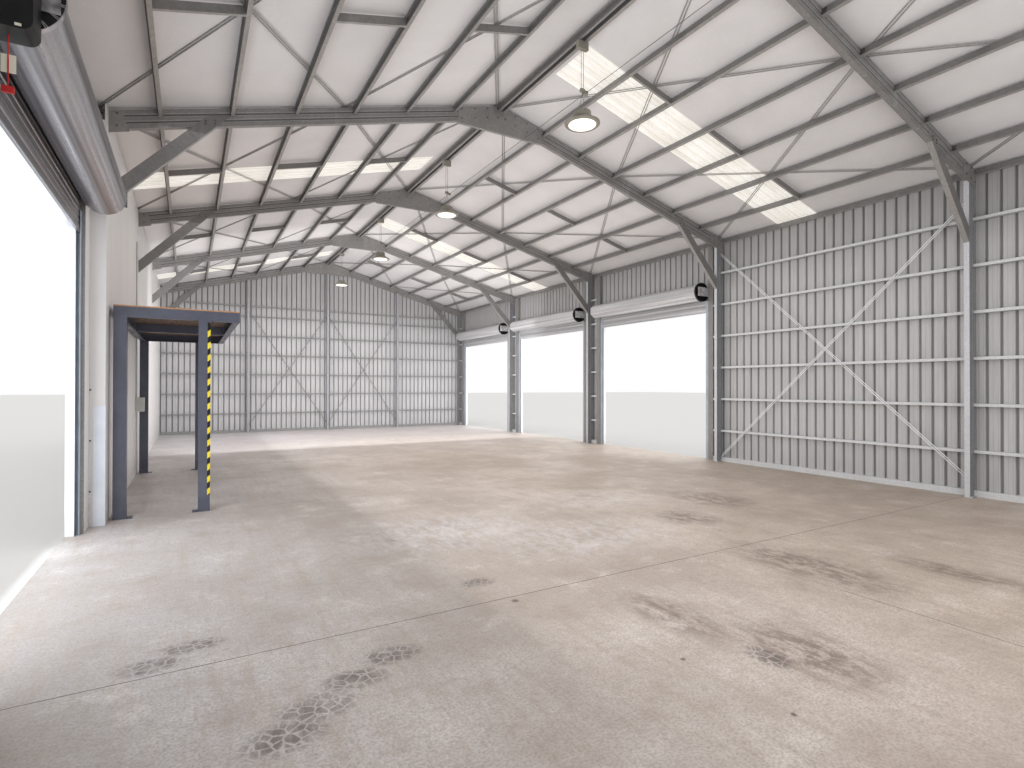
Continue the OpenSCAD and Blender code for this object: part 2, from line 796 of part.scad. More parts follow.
// Curtain rolled on a drum of diameter d, with the stretch that hangs in the guides and
// its bottom rail. Over the guides it is cut short beside the wheel at the near end.
module curtain_set(d) {
    half = door_w/2 + guide_w - 20;
    near = -door_w/2;
    far = door_w/2 + guide_w;
    low = slab_t + curtain_low;
    slat = 75;
    band = 3;                                   // height of the bands along the roll
    n = floor((drum_z - low)/slat);
    profile = concat([for (k = [0:n - 1]) let (z = low + k*slat)
        each [[0, z], [0, z + 48], [9, z + 56], [9, z + 67]]], [[0, drum_z]]);
    slice(near, far) translate([drum_x(d), drum_z]) {
        circle(d = d - 2*band, $fn = 96);
        for (a = [0:20:359]) rotate(a) translate([d/2 - band, 0])
            polygon([[-2, -30], [0, -24], [band, -16], [band, 16], [0, 24], [-2, 30]]);
    }
    difference() {
        slice(-half, half) translate([curtain_x - 10, 0]) polygon(concat(profile,
            [for (k = [len(profile) - 1:-1:0]) profile[k] + [3, 0]]));
        translate([curtain_x - 50, -2*half, drum_z - d/2])
            cube([100, near + 2*half, d]);
    }
    slice(-half, half) translate([curtain_x - 10, low - 30])
        polygon([[-4, 0], [24, 0], [24, 4], [0, 4], [0, 76], [-4, 76]]);
    translate([0, far, 0]) drum_bracket(d);
}

// Plate at a drum's end, from its room side to the jamb
module drum_bracket(d) {
    x0 = drum_x(d) - d/2;
    translate([x0, 0, drum_z - bracket_h/2])
        cube([steel_x - purlin_d - x0, bracket_t, bracket_h]);
}

module roller_doors() {
    color("#b7b9ba") each_right_door() {
        curtain_set(drum_d);
        translate([0, -door_w/2 - guide_w - bracket_t, 0]) drum_bracket(drum_d);
    }
}

// The left-hand door's drum carries a drive wheel with pockets round its near face. Its
// near bracket is an angle that reaches back to the jamb behind the opener.
module side_roller_door() {
    r = side_drum_d/2 + 25;
    near = -door_w/2;
    leg = 160;
    y = near - wheel_t - 10;
    color("#b7b9ba") side_door() {
        curtain_set(side_drum_d);
        translate([drum_x(side_drum_d), near, drum_z]) rotate([90, 0, 0]) {
            difference() {
                translate([0, 0, -1]) cylinder(r = r, h = wheel_t + 1, $fn = 96);
                for (a = [0:15:359]) rotate([0, 0, a]) translate([r - 52, -17, wheel_t - 18])
                    cube([40, 34, 20]);
            }
            cylinder(d = 70, h = wheel_t + 10 + bracket_t/2, $fn = 32);
        }
        translate([0, y - bracket_t, 0]) drum_bracket(side_drum_d);
        translate([steel_x - purlin_d - bracket_t, y - leg, drum_z - bracket_h/2])
            cube([bracket_t, leg, bracket_h]);
    }
}

// Chain wheel at the near end of each right-hand drum, on its shaft to the bracket: a
// rim, a groove, a raised disc and a hub
module hoist_wheels() {
    r = hoist_d/2;
    t = wheel_t;
    shaft = 30;                                 // radius of the shaft
    color("#1c1c1e") each_right_door()
        translate([drum_x(drum_d), -door_w/2 - clear, drum_z]) rotate([90, 0, 0])
            rotate_extrude($fn = 96) polygon([[0, 0], [r, 0], [r, t], [r - 28, t],
                [r - 34, t - 22], [r - 70, t - 22], [r - 76, t - 6], [75, t - 6], [70, t + 10],
                [shaft, t + 10], [shaft, guide_w - 2*clear], [0, guide_w - 2*clear]]);
}

// Electric opener in front of the left-hand drum's near bracket, round at its lower edges
module door_opener() {
    x0 = 5800;
    x1 = steel_x - purlin_d - bracket_t - clear;
    z0 = slab_t + 3810;
    h = 540;
    r = 60;
    y1 = -door_w/2 - wheel_t - 10 - bracket_t - clear;
    corner = [for (a = [0:15:90]) r*[1 - cos(a), 1 - sin(a)]];
    color("#17181a") side_door() slice(y1 - 200, y1) polygon(concat(
        [for (p = corner) [x0 + p[0], z0 + p[1]]],
        [for (k = [len(corner) - 1:-1:0]) [x1 - corner[k][0], z0 + corner[k][1]]],
        [[x1, z0 + h], [x0, z0 + h]]));
}

// Platform

platform_x0 = -lining_x + 50;
platform_y0 = frame_y(platform_bay) + 60;
deck_t = 18;
beam_b = 90;
beam_top = slab_t + deck_h - deck_t;

module platform_posts() {
    xs = [platform_x0, platform_x0 + 997];
    ys = [platform_y0, platform_y0 + platform_l - post_w];
    wall = 5;
    foot = 70;
    color("#565a64") for (k = [0, 1], y = ys) translate([xs[k], y, slab_t]) {
        difference() {
            cube([post_w, post_w, beam_top - platform_beam_d - slab_t]);
            translate([wall, wall, 10]) cube([post_w - 2*wall, post_w - 2*wall, deck_h]);
        }
        translate([-k*foot, 0, 0]) cube([post_w + foot, post_w, 10]);
    }
}

// Channels round the deck's edge and one across its middle
module platform_beams() {
    x1 = platform_x0 + platform_w;
    y1 = platform_y0 + platform_l;
    middle = (platform_y0 + y1)/2;
    color("#4a4e58") translate([0, 0, beam_top - platform_beam_d]) {
        translate([platform_x0, platform_y0, 0]) cross_beam();
        translate([platform_x0, y1, 0]) mirror([0, 1, 0]) cross_beam();
        translate([platform_x0 + beam_b + clear, middle, 0])
            cross_beam(platform_w - 2*beam_b - 2*clear);
        slice(platform_y0 + beam_b + clear, y1 - beam_b - clear) {
            translate([platform_x0, 0]) channel_outline(platform_beam_d, beam_b, 12, 5);
            translate([x1, 0]) mirror([1, 0]) channel_outline(platform_beam_d, beam_b, 12, 5);
        }
    }
}

module cross_beam(w = platform_w) {
    rotate([90, 0, 90]) linear_extrude(w) channel_outline(platform_beam_d, beam_b, 12, 5);
}

module platform_deck() {
    color("#a9713f") translate([platform_x0, platform_y0, beam_top])
        cube([platform_w, platform_l, deck_t]);
}

// Fittings

// High-bay lamp under a clamp on the ridge purlins, one in each bay: two stays up to a
// hook block with a junction box beside it, and two rods from there to the clamp
module pendant_lights() {
    lamp_z = slab_t + 5690;
    lamp_h = 190;
    hook = lamp_h + 300;                        // underside of the hook block
    hook_h = 50;
    clamp_h = 120;
    drop = purlin_d*cos(roof_pitch) + (ridge_gap/2 + purlin_d*sin(roof_pitch) + purlin_b)
        *sin(roof_pitch);
    top = ridge_z - drop - 2*clear - lamp_z;
    reach = ridge_gap/2 + purlin_b + 10;
    color("#9a9b98") for (i = [0:bays - 1]) translate([0, bay_y(i), lamp_z]) {
        rotate_extrude($fn = 48) polygon([[0, 0], [250, 0], [262, 12], [262, 28], [170, 80],
            [137, 115], [130, lamp_h], [0, lamp_h]]);
        for (s = [-1, 1]) {
            rotate([0, s*atan2(85, 300), 0]) translate([s*-125, 0, lamp_h - 35])
                cylinder(d = 7, h = 345, $fn = 16);
            translate([s*20, 0, hook + hook_h/2])
                cylinder(d = 8, h = top - hook - hook_h/2 - clamp_h/2, $fn = 16);
        }
        translate([-35, -20, hook]) cube([70, 40, hook_h]);
        translate([30, -30, hook - 20]) cube([60, 60, 45]);
        translate([-reach, -30, top - clamp_h]) cube([2*reach, 60, clamp_h]);
    }
}

// Steel angle on the corner of the lining beside the door
module corner_guard() {
    t = 3;
    w = 125;
    color("#b9c0c8") translate([-lining_x, lining_start, slab_t]) linear_extrude(1540)
        polygon([[-w, -t], [t, -t], [t, 40], [0, 40], [0, 0], [-w, 0]]);
}

// Switch box on the lined wall with the conduit that feeds it
module switch_box() {
    y = frame_y(platform_bay + 1) - 600;
    low = 1290;
    h = 280;
    color("#a9aaa8") translate([-lining_x, y, slab_t]) {
        translate([0, -100, low]) cube([150, 200, h]);
        translate([15, 0, low + h - 1]) cylinder(d = 25, h = 3150, $fn = 24);
    }
}

floor_slab();
columns_left();
columns_right();
rafters_left();
rafters_right();
apex_plates();
knee_plates();
knee_braces();
purlins_left();
purlins_right();
ridge_purlins();
eave_purlins();
purlin_bridging();
roof_bracing();
wall_bracing();
girts_left();
girts_right();
gable_girts();
gable_mullions();
cladding_left();
cladding_right();
wall_lining();
gable_cladding_far();
gable_cladding_near();
roof_sheets_left();
roof_sheets_right();
skylights();
roof_lining();
ridge_capping();
gutters();
downpipes();
barge_flashings();
corner_flashings();
door_jambs();
door_flashings();
door_guides();
roller_doors();
hoist_wheels();
side_roller_door();
door_opener();
platform_posts();
platform_beams();
platform_deck();
pendant_lights();
corner_guard();
switch_box();
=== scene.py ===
# Looks of the steel portal-frame factory building: the material of every node, the small
# pieces that the CAD model leaves out, and the light and camera of the photograph.
# x runs across the building, y along it and z up, in metres.
import math

import bmesh
import bpy
from mathutils import Matrix, Vector


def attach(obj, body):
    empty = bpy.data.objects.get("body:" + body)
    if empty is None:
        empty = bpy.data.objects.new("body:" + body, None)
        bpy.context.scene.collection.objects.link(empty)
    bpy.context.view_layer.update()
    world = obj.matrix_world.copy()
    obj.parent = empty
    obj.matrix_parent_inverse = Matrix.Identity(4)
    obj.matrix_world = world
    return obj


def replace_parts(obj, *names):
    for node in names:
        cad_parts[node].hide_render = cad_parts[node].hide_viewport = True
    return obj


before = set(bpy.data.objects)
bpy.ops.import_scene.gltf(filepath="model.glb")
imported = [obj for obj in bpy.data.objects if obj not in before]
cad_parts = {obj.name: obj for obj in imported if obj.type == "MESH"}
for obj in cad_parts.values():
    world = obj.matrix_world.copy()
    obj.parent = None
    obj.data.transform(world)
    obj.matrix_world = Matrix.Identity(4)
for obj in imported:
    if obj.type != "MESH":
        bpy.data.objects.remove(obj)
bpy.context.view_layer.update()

# Sizes taken over from the part's source
SLAB = 0.1                                    # top of the floor slab
BAY = 5.0                                     # between two frames
FRAMES = [-12.5 + BAY*i for i in range(6)]    # middle of each frame, along y
MIDDLES = [y + BAY/2 for y in FRAMES[:5]]     # middle of each bay
STEEL_X = 6.23                                # outer line of the columns
END_Y = 12.538                                # outer line of the end frames
FRAME_D = 0.25                                # columns and rafters: their depth,
FRAME_B = 0.076                               # the width of their flanges
FRAME_T = 0.003                               # and the thickness of their steel
PLATE = 0.006                                 # thickness of the joint plates
MULLION_PITCH = 3.03                          # between two posts of an end wall
EAVE_Z = SLAB + 5.39
PITCH = math.radians(15)
RIDGE_Z = EAVE_Z + STEEL_X*math.tan(PITCH)
PURLIN_D = 0.1                                # depth of the purlins and girts
PURLIN_X = [0.95 + 0.886*k for k in range(6)]
RIB_PITCH = 0.19                              # between two ribs of the sheets
LAMP_Z = SLAB + 5.69                          # underside of the lamps
ROD_R = 0.008                                 # radius of the bracing rods
ROD_GAP = 0.046                               # between the two rods of a brace
CLEAR = 0.0003                                # room between pieces that almost touch


# How materials are built

# Sockets of a Mix node that hold its two colours and its result
MIX_FIRST, MIX_SECOND, MIX_RESULT = 6, 7, 2


def rgb(red, green, blue):
    """A colour given as 0 to 255 on a screen, as the shader wants it."""
    def linear(v):
        v /= 255
        return v/12.92 if v <= 0.04045 else ((v + 0.055)/1.055)**2.4
    return (linear(red), linear(green), linear(blue), 1.0)


class Look:
    """A material being built: its nodes, and the shader that they feed."""

    def __init__(self, name, metallic=0.0, roughness=0.5):
        self.mat = bpy.data.materials.new(name)
        self.mat.use_nodes = True
        self.tree = self.mat.node_tree
        self.shader = self.tree.nodes["Principled BSDF"]
        self.shader.inputs["Metallic"].default_value = metallic
        self.shader.inputs["Roughness"].default_value = roughness
        self.place = self.add("ShaderNodeTexCoord").outputs["Object"]
        self.facing = self.add("ShaderNodeNewGeometry").outputs["Normal"]
        self.heights = []

    def add(self, kind, **settings):
        node = self.tree.nodes.new(kind)
        for key, value in settings.items():
            setattr(node, key, value)
        return node

    def feed(self, socket, value):
        """Links a socket to another one, or sets it to a plain value."""
        if isinstance(value, bpy.types.NodeSocket):
            self.tree.links.new(value, socket)
        else:
            socket.default_value = value

    def math(self, operation, *values):
        node = self.add("ShaderNodeMath", operation=operation)
        for socket, value in zip(node.inputs, values):
            self.feed(socket, value)
        return node.outputs[0]

    def axis(self, letter, place=None):
        """One coordinate of a vector, or of the surface's place."""
        node = self.add("ShaderNodeSeparateXYZ")
        self.feed(node.inputs[0], place or self.place)
        return node.outputs[letter.upper()]

    def faces(self, letter):
        """How far a surface looks along an axis, from -1 to 1."""
        return self.axis(letter, self.facing)

    def away(self, value, at=0.0):
        """How far a value is from another, never negative."""
        if at:
            value = self.math("SUBTRACT", value, at)
        return self.math("ABSOLUTE", value)

    def both(self, first, second):
        """1 where two masks are both 1."""
        return self.math("MULTIPLY", first, second)

    def moved(self, seed=0.0, stretch=(1, 1, 1)):
        """The surface's place, shifted by a seed and stretched, for a pattern of its own."""
        node = self.add("ShaderNodeMapping")
        self.feed(node.inputs["Vector"], self.place)
        node.inputs["Location"].default_value = (seed, 1.7*seed, 2.3*seed)
        node.inputs["Scale"].default_value = stretch
        return node.outputs[0]

    def noise(self, scale, detail=2.0, roughness=0.5, seed=0.0, stretch=(1, 1, 1), twist=0.0):
        node = self.add("ShaderNodeTexNoise")
        self.feed(node.inputs["Vector"], self.moved(seed, stretch))
        node.inputs["Scale"].default_value = scale
        node.inputs["Detail"].default_value = detail
        node.inputs["Roughness"].default_value = roughness
        node.inputs["Distortion"].default_value = twist
        return node.outputs["Fac"]

    def cells(self, scale, seed=0.0, feature="F1", output="Color"):
        node = self.add("ShaderNodeTexVoronoi", feature=feature)
        self.feed(node.inputs["Vector"], self.moved(seed))
        node.inputs["Scale"].default_value = scale
        return node.outputs[output]

    def spread(self, value, low, high, to_low=0.0, to_high=1.0):
        """Maps low..high of a value to to_low..to_high, held at the ends."""
        node = self.add("ShaderNodeMapRange")
        self.feed(node.inputs["Value"], value)
        ends = {"From Min": low, "From Max": high, "To Min": to_low, "To Max": to_high}
        for name, number in ends.items():
            node.inputs[name].default_value = number
        return node.outputs[0]

    def mix(self, amount, first, second):
        node = self.add("ShaderNodeMix", data_type="RGBA")
        self.feed(node.inputs[0], amount)
        self.feed(node.inputs[MIX_FIRST], first)
        self.feed(node.inputs[MIX_SECOND], second)
        return node.outputs[MIX_RESULT]

    def over(self, colour, mask, strength, paint):
        """Lays paint over a colour where a mask of 0 to 1 says, at a strength."""
        return self.mix(self.math("MULTIPLY", mask, strength), colour, paint)

    def cloud(self, colour, pattern, low, high, strength, paint):
        """Lays paint over a colour as a pattern rises from low to high, up to a strength."""
        return self.mix(self.spread(pattern, low, high, 0, strength), colour, paint)

    def relief(self, height, depth):
        """Adds a height of 0 to 1 that stands for a depth in metres."""
        self.heights.append(self.math("MULTIPLY", height, depth))

    def stripe(self, letter, pitch, width, offset=0.0):
        """1 inside lines of a width that repeat along an axis, 0 elsewhere."""
        shifted = self.math("ADD", self.axis(letter), offset)
        place = self.math("FLOORED_MODULO", shifted, pitch)
        return self.math("LESS_THAN", self.away(place, pitch/2), width/2)

    def line(self, letter, at, width, soft=0.002):
        """1 on one line across an axis, falling to 0 over a soft edge."""
        away = self.away(self.axis(letter), at)
        return self.spread(away, width/2, width/2 + soft, 1.0, 0.0)

    def patch(self, x, y, rx, ry):
        """1 in the middle of an oval on the floor, falling to 0 at its edge."""
        dx = self.math("DIVIDE", self.math("SUBTRACT", self.axis("x"), x), rx)
        dy = self.math("DIVIDE", self.math("SUBTRACT", self.axis("y"), y), ry)
        away = self.math("ADD", self.math("MULTIPLY", dx, dx), self.math("MULTIPLY", dy, dy))
        return self.spread(away, 0.1, 1.0, 1.0, 0.0)

    def patches(self, spots):
        """1 in the middle of any of several ovals, falling to 0 at their edges."""
        mask = self.patch(*spots[0])
        for spot in spots[1:]:
            mask = self.math("MAXIMUM", mask, self.patch(*spot))
        return mask

    def done(self, colour, roughness=None):
        self.feed(self.shader.inputs["Base Color"], colour)
        if roughness is not None:
            self.feed(self.shader.inputs["Roughness"], roughness)
        if self.heights:
            total = self.heights[0]
            for height in self.heights[1:]:
                total = self.math("ADD", total, height)
            bump = self.add("ShaderNodeBump")
            bump.inputs["Strength"].default_value = 1.0
            bump.inputs["Distance"].default_value = 1.0
            self.feed(bump.inputs["Height"], total)
            self.feed(self.shader.inputs["Normal"], bump.outputs[0])
        return self.mat


# Materials

# Floor: middles and half sizes of its ovals, and oil drips with their radii
FLOOR_STAINS = [(0.35, -8.25, 0.5, 1.1), (-1.4, -9.3, 0.4, 0.65), (-1.74, -8.4, 0.28, 0.6),
                (1.4, -9.1, 0.25, 0.8), (2.25, -5.5, 0.55, 0.9), (0.9, -6.2, 0.5, 0.5)]
TYRE_PRINTS = [(-4.6, -8.5, 0.24, 0.17), (-4.4, -8.3, 0.26, 0.17), (-4.15, -8.12, 0.24, 0.15),
               (-3.85, -7.92, 0.24, 0.15), (-5.25, -7.3, 0.22, 0.13), (-5.0, -7.12, 0.24, 0.12),
               (-2.73, -7.0, 0.2, 0.12), (-1.7, -9.2, 0.12, 0.2)]
WORN_SHEEN_PATCHES = [(-0.9, -6.2, 1.5, 1.0), (-2.2, -5.2, 1.6, 1.0), (0.6, -4.6, 1.4, 0.9)]
OIL_DRIPS = [(-2.21, -8.95, 0.022), (-2.16, -9.69, 0.022), (-2.66, -7.54, 0.04)]
COOL_TO_WARM_X = (-5.0, 0.5)       # where the floor's tone turns from cool to warm
FAR_SHEEN_Y = (2.0, 10.0)              # where a painted sheen of the daylight grows on the far floor
JOINT_W = 0.006
LONG_JOINT_X = -0.04               # sawn joint along the hall
LONG_JOINT_FADES_Y = (-8.9, -8.6)  # where that joint turns faint
CROSS_JOINTS_Y = [y + 0.05 for y in FRAMES[1:5]]


def concrete():
    """Trowelled slab: brushed streaks, a painted sheen on worn patches and on the far floor,
    stains, tyre prints, oil drips and sawn joints."""
    look = Look("concrete_floor")
    broad = look.noise(0.5, 1, 0.6, seed=3)
    mottle = look.noise(2.2, 4, 0.7, seed=11)
    streaks = look.noise(3.2, 3, 0.7, seed=31, stretch=(4, 0.4, 1))
    grit = look.noise(17, 2, 0.7, seed=23)
    fine = look.noise(60, 1, 0.75, seed=5)
    ragged = look.noise(5, 3, 0.8, seed=41, stretch=(1.6, 0.8, 1))

    across = look.spread(look.axis("x"), *COOL_TO_WARM_X)
    colour = look.mix(across, rgb(202, 197, 196), rgb(211, 195, 180))
    deeper = look.mix(across, rgb(180, 173, 170), rgb(190, 174, 159))
    colour = look.mix(look.spread(broad, 0.38, 0.62), colour, deeper)
    colour = look.cloud(colour, streaks, 0.48, 0.72, 0.6, rgb(178, 162, 150))
    colour = look.cloud(colour, mottle, 0.5, 0.7, 0.55, rgb(164, 148, 137))
    colour = look.mix(look.spread(mottle, 0.28, 0.45, 0.45, 0), colour, rgb(236, 228, 222))
    colour = look.cloud(colour, grit, 0.45, 0.7, 0.4, rgb(160, 146, 135))
    colour = look.cloud(colour, fine, 0.42, 0.7, 0.6, rgb(150, 138, 128))

    # painted sheen on patches polished by wear: lighter and bluer where they catch the daylight
    worn_sheen = look.both(look.patches(WORN_SHEEN_PATCHES), look.spread(ragged, 0.42, 0.62))
    colour = look.over(colour, worn_sheen, 0.4, rgb(222, 220, 226))
    # painted sheen: the far floor paler and bluer, a reflection of the daylight
    far_sheen = look.spread(look.axis("y"), *FAR_SHEEN_Y)
    colour = look.over(colour, far_sheen, 0.45, rgb(222, 221, 228))
    stains = look.both(look.patches(FLOOR_STAINS), look.spread(ragged, 0.4, 0.58, 0.15, 1.0))
    colour = look.over(colour, stains, 0.7, rgb(116, 98, 88))

    gaps = look.cells(15, seed=8, feature="DISTANCE_TO_EDGE", output="Distance")
    treads = look.spread(look.patches(TYRE_PRINTS), 0.0, 0.8)
    prints = look.both(treads, look.spread(gaps, 0.02, 0.12))
    prints = look.both(prints, look.spread(ragged, 0.35, 0.6, 0.35, 1.0))
    colour = look.over(colour, prints, 0.8, rgb(100, 94, 92))

    drips = look.patches([(x, y, radius, radius) for x, y, radius in OIL_DRIPS])
    specks = look.spread(look.cells(5, seed=4, output="Distance"), 0.02, 0.045, 1.0, 0.0)
    drips = look.math("MAXIMUM", drips, look.math("MULTIPLY", specks, 0.5))
    colour = look.over(colour, drips, 0.8, rgb(84, 78, 76))

    fade = look.spread(look.axis("y"), *LONG_JOINT_FADES_Y, 1.0, 0.15)
    joints = look.both(look.line("x", LONG_JOINT_X, JOINT_W), fade)
    for y in CROSS_JOINTS_Y:
        joints = look.math("MAXIMUM", joints, look.line("y", y, JOINT_W))
    colour = look.over(colour, joints, 0.85, rgb(84, 74, 68))
    look.relief(joints, -0.003)
    return look.done(colour, look.spread(broad, 0.3, 0.7, 0.4, 0.6))


# Grooves rolled into the webs of the frames: their depths in the section, and from a
# groove's middle to the bright lips beside it
GROOVES = (0.32*FRAME_D, 0.68*FRAME_D)
GROOVE_LIP = 0.019


def web_depth(look, section):
    """How deep in a web a place is: in from a column's outer line, or down from the top of
    a rafter."""
    across = look.away(look.axis("x"))
    if section == "column":
        return look.math("SUBTRACT", STEEL_X, across)
    fall = look.math("MULTIPLY", across, math.tan(PITCH))
    drop = look.math("SUBTRACT", RIDGE_Z, look.math("ADD", fall, look.axis("z")))
    return look.math("MULTIPLY", drop, math.cos(PITCH))


def grooved(look, colour, webs, section):
    """Lays the shade in a web's grooves, and the light on their lips, over a colour."""
    depth = web_depth(look, section)
    for at in GROOVES:
        away = look.away(depth, at)
        groove = look.both(webs, look.spread(away, 0.006, 0.014, 1.0, 0.0))
        colour = look.over(colour, groove, 0.55, rgb(48, 48, 50))
        beside = look.away(away, GROOVE_LIP)
        lip = look.both(webs, look.spread(beside, 0.002, 0.006, 1.0, 0.0))
        colour = look.over(colour, lip, 0.35, rgb(205, 205, 205))
    return colour


def galvanised(name, light, dark, metallic=0.35, under=0.0, sides=0.0, web=0.0, section=None):
    """Zinc-coated steel: small crystals, duller patches and faint white rust. Open sections
    hold shade, which is laid at a strength on faces that look down, on steep ones and on
    webs, and in the grooves of a section, "rafter" or "column"."""
    look = Look(name, metallic)
    crystals = look.axis("x", look.cells(42))
    dull = look.noise(2.2, 3, 0.6, seed=7)
    runs = look.noise(5, 2, 0.5, seed=17, stretch=(1, 1, 0.2))
    colour = look.mix(look.spread(crystals, 0.1, 0.9, 0.25, 0.75), light, dark)
    colour = look.cloud(colour, dull, 0.4, 0.75, 0.5, dark)
    colour = look.cloud(colour, runs, 0.62, 0.8, 0.25, rgb(214, 215, 214))
    downward = look.math("LESS_THAN", look.faces("z"), -0.5)
    steep = look.math("LESS_THAN", look.away(look.faces("z")), 0.7)
    webs = look.math("GREATER_THAN", look.away(look.faces("y")), 0.5)
    for mask, strength in ((downward, under), (steep, sides), (webs, web)):
        if strength:
            colour = look.over(colour, mask, strength, rgb(60, 60, 62))
    if section:
        colour = grooved(look, colour, webs, section)
    return look.done(colour, look.spread(dull, 0.3, 0.7, 0.36, 0.54))


def ribbed_sheet(name, across, light, dark, wall=None):
    """Bare zinc-coated sheet: fine lines rolled into the pans, with painted shade in them, runs
    and dull patches. On a wall's inner side the ribs are hollows that hold painted shade, and so
    is the strip under the eave; wall is where its pans stand."""
    look = Look(name, 0.3)
    streaks = look.noise(9, 3, 0.6, seed=3, stretch=(1, 1, 0.12) if wall else (0.12, 1, 1))
    broad = look.noise(0.8, 2, 0.5, seed=13)
    colour = look.cloud(light, streaks, 0.35, 0.7, 0.6, dark)
    colour = look.cloud(colour, broad, 0.35, 0.7, 0.35, dark)
    # painted shade in the fine lines rolled into the pans
    line = look.stripe(across, RIB_PITCH/3, 0.005)
    colour = look.over(colour, line, 0.22, rgb(70, 70, 70))
    look.relief(line, -0.001)
    if wall:
        side = "y" if across == "x" else "x"
        outward = look.both(look.axis(side), look.faces(side))
        inside = look.math("LESS_THAN", outward, 0.0)
        shade = look.both(inside, look.spread(look.axis("z"), EAVE_Z - 1.3, EAVE_Z))
        colour = look.over(colour, shade, 0.22, rgb(96, 92, 86))
        depth = look.math("SUBTRACT", look.away(look.axis(side)), wall)
        hollow = look.both(inside, look.spread(depth, 0.014, 0.03))
        colour = look.over(colour, hollow, 0.62, rgb(52, 52, 53))
    return look.done(colour, look.spread(streaks, 0.3, 0.7, 0.38, 0.55))


def skylight():
    """Translucent sheet. The glow of the sky in it is added on its underside only."""
    look = Look("translucent_sheet", 0.0, 0.45)
    dust = look.noise(3.5, 3, 0.6, seed=5, stretch=(0.3, 1, 1))
    colour = look.cloud(rgb(244, 242, 238), dust, 0.4, 0.7, 0.5, rgb(226, 221, 212))
    rib = look.stripe("y", RIB_PITCH, 0.03)
    colour = look.over(colour, rib, 0.45, rgb(208, 203, 194))
    look.relief(dust, 0.001)
    look.done(colour)
    downward = look.math("LESS_THAN", look.faces("z"), 0.0)
    look.feed(look.shader.inputs["Emission Color"], colour)
    look.feed(look.shader.inputs["Emission Strength"], look.math("MULTIPLY", downward, 0.5))
    glow = look.add("ShaderNodeBsdfTranslucent")
    look.feed(glow.inputs["Color"], colour)
    halves = look.add("ShaderNodeMixShader")
    halves.inputs[0].default_value = 0.5
    look.feed(halves.inputs[1], glow.outputs[0])
    look.feed(halves.inputs[2], look.shader.outputs[0])
    look.feed(look.tree.nodes["Material Output"].inputs["Surface"], halves.outputs[0])
    return look.mat


def roof_lining():
    """White-faced blanket over the purlins: soft billows and fine creases."""
    look = Look("roof_blanket", 0.0, 0.55)
    billow = look.noise(1.3, 2, 0.5, seed=2)
    crease = look.noise(14, 3, 0.65, seed=6, twist=1.2)
    colour = look.cloud(rgb(222, 219, 219), billow, 0.35, 0.7, 0.6, rgb(210, 207, 207))
    colour = look.cloud(colour, crease, 0.5, 0.8, 0.4, rgb(232, 228, 225))
    look.relief(billow, 0.012)
    look.relief(crease, 0.0012)
    return look.done(colour, 0.5)


def wall_panel():
    """Smooth white panels with fine joints, scuffed near the floor."""
    look = Look("lining_panel", 0.0, 0.42)
    grime = look.noise(1.7, 3, 0.6, seed=4, stretch=(1, 1, 0.4))
    scuff = look.noise(16, 4, 0.7, seed=14, twist=0.8)
    colour = look.cloud(rgb(220, 217, 216), grime, 0.4, 0.8, 0.5, rgb(204, 201, 200))
    foot = look.spread(look.axis("z"), SLAB, SLAB + 0.9, 1.0, 0.0)
    colour = look.over(colour, foot, look.spread(scuff, 0.45, 0.7, 0.05, 0.6), rgb(158, 150, 142))
    joint = look.stripe("y", 1.15, 0.006, offset=0.42)
    colour = look.over(colour, joint, 0.75, rgb(112, 108, 104))
    look.relief(joint, -0.002)
    return look.done(colour, look.spread(scuff, 0.3, 0.7, 0.36, 0.5))


def painted(name, light, dark, wear, roughness=0.4, seed=0.0):
    """Paint with duller patches and small chips."""
    look = Look(name, 0.0)
    patch = look.noise(3.2, 3, 0.6, seed=seed + 2)
    chips = look.spread(look.noise(34, 4, 0.75, seed=seed + 5), 0.7, 0.74)
    colour = look.mix(look.spread(patch, 0.35, 0.7), light, dark)
    colour = look.over(colour, chips, 0.5, wear)
    look.relief(chips, -0.0003)
    return look.done(colour, look.spread(patch, 0.3, 0.7, roughness - 0.08, roughness + 0.1))


def curtain(name, metallic, light, dark):
    """Zinc-coated slats, rolled smooth: soft lengthwise bands of painted reflection, and small
    crystals.
    """
    look = Look(name, metallic)
    crystals = look.axis("x", look.cells(55))
    # painted reflection: soft light and dark bands along the curtain
    reflection_bands = look.noise(11, 2, 0.5, seed=12, stretch=(1, 0.012, 1))
    colour = look.mix(look.spread(reflection_bands, 0.36, 0.64), light, dark)
    colour = look.cloud(colour, crystals, 0.1, 0.9, 0.2, rgb(150, 148, 152))
    return look.done(colour, look.spread(reflection_bands, 0.3, 0.7, 0.26, 0.4))


def plywood():
    """Plies that show at the edges, and painted shade on the underside."""
    look = Look("plywood_deck", 0.0, 0.6)
    grain = look.noise(5, 4, 0.6, seed=2, stretch=(6, 0.35, 1), twist=0.7)
    blotch = look.noise(1.8, 2, 0.5, seed=9)
    colour = look.mix(look.spread(grain, 0.3, 0.7), rgb(196, 152, 108), rgb(166, 116, 72))
    colour = look.cloud(colour, blotch, 0.45, 0.75, 0.5, rgb(150, 112, 80))
    plies = look.stripe("z", 0.006, 0.0022)
    colour = look.over(colour, plies, 0.25, rgb(112, 74, 44))
    # painted shade: faces that look down are much darker
    downward = look.math("LESS_THAN", look.faces("z"), -0.5)
    colour = look.over(colour, downward, 0.85, rgb(44, 38, 36))
    look.relief(grain, 0.0005)
    return look.done(colour, look.spread(grain, 0.3, 0.7, 0.5, 0.7))


def lamp_lens():
    """Frosted lens, lit from inside."""
    look = Look("lamp_lens", 0.0, 0.4)
    frost = look.noise(30, 2, 0.5)
    colour = look.cloud(rgb(250, 246, 238), frost, 0.4, 0.7, 0.3, rgb(236, 231, 222))
    look.shader.inputs["Emission Color"].default_value = rgb(255, 248, 236)
    look.shader.inputs["Emission Strength"].default_value = 0.75
    look.relief(frost, 0.0005)
    return look.done(colour)


